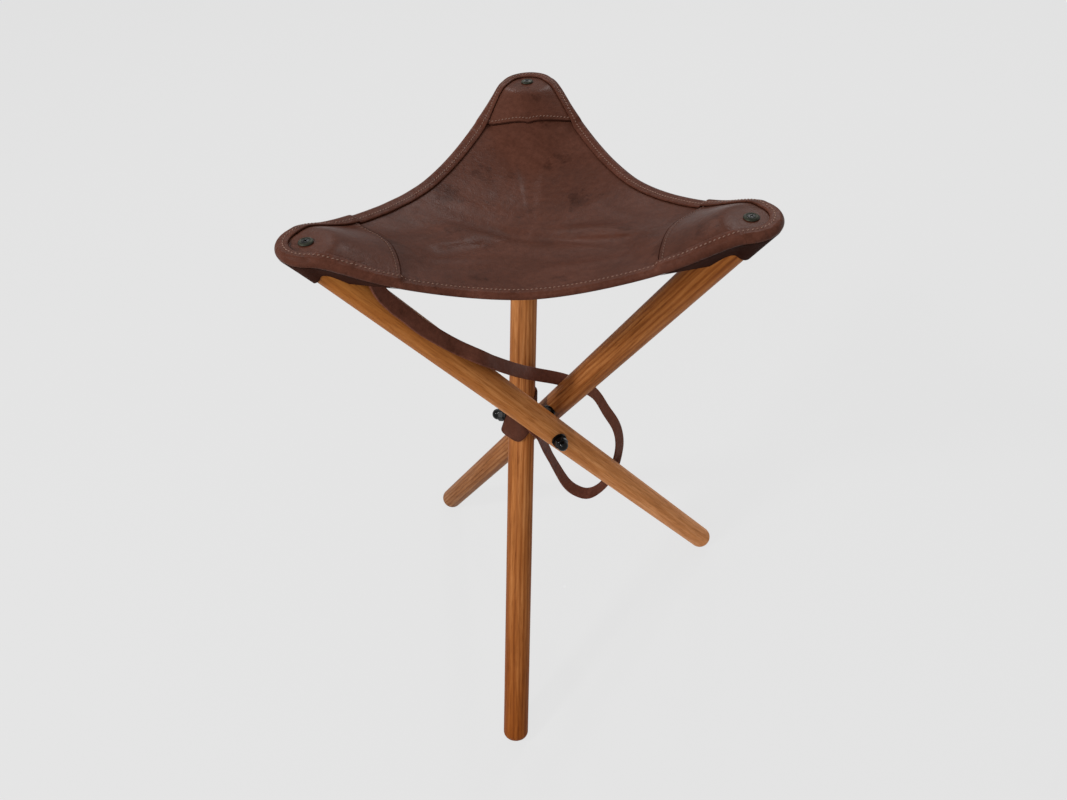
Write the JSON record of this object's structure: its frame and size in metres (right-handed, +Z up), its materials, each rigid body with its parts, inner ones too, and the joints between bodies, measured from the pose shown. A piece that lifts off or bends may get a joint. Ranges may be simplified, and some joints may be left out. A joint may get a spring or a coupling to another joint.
{
  "type": "folding hunting stool",
  "caption": "Folding hunting stool: round oak legs crossing at a three-way pivot bolt under a sagging, bound triangular leather seat with a leather carrying strap.",
  "frame": {"origin": "on the floor under the middle of the stool's box, measured without the strap", "axes": "+Z up; +Y towards the rear seat corner, the top of leg c"},
  "size_m": [0.3882, 0.4326, 0.6041],
  "materials": {
    "oiled_oak": "stained and oiled, straight grain along the leg",
    "black_steel": "gloss black",
    "seat_leather": "waxed, worn, dark reddish brown",
    "binding_leather": "waxed strip, stitched",
    "strap_leather": "waxed strap",
    "dark_bronze": "dark antique bronze"
  },
  "bodies": {
    "hub": {"three_way_bolt": "black_steel", "cap_nut_a": "black_steel", "cap_nut_b": "black_steel", "cap_nut_c": "black_steel", "outer_washer_a": "black_steel", "outer_washer_b": "black_steel", "outer_washer_c": "black_steel", "inner_washer_a": "black_steel", "inner_washer_b": "black_steel", "inner_washer_c": "black_steel", "seat_panel": "seat_leather", "edge_binding": "binding_leather", "carry_strap": "strap_leather"},
    "leg_a": {"leg_a": "oiled_oak", "corner_pocket_a": "seat_leather", "corner_patch_a": "seat_leather", "corner_screw_a": "black_steel", "cup_washer_a": "dark_bronze"},
    "leg_b": {"leg_b": "oiled_oak", "corner_pocket_b": "seat_leather", "corner_patch_b": "seat_leather", "corner_screw_b": "black_steel", "cup_washer_b": "dark_bronze"},
    "leg_c": {"leg_c": "oiled_oak", "corner_pocket_c": "seat_leather", "corner_patch_c": "seat_leather", "corner_screw_c": "black_steel", "cup_washer_c": "dark_bronze", "strap_loop": "strap_leather"}
  },
  "joints": [
    {"name": "fold_a", "type": "hinge", "parent": "hub", "child": "leg_a", "pos_m": [-0.01215, 0.0056, 0.31687], "axis": [-0.5, 0.866, 0], "range_deg": [0, 34.3], "deforming": ["seat_panel", "edge_binding", "carry_strap", "corner_patch_a", "corner_pocket_a"]},
    {"name": "fold_b", "type": "hinge", "parent": "hub", "child": "leg_b", "pos_m": [-0.01215, 0.0056, 0.31687], "axis": [-0.5, -0.866, 0], "range_deg": [0, 34.3], "deforming": ["corner_patch_b", "corner_pocket_b"]},
    {"name": "fold_c", "type": "hinge", "parent": "hub", "child": "leg_c", "pos_m": [-0.01215, 0.0056, 0.31687], "axis": [1, 0, 0], "range_deg": [0, 34.3], "deforming": ["corner_patch_c", "corner_pocket_c"]}
  ],
  "couplings": [
    {"joint": "fold_b", "follows": "fold_a", "ratio": 1},
    {"joint": "fold_c", "follows": "fold_a", "ratio": 1}
  ]
}
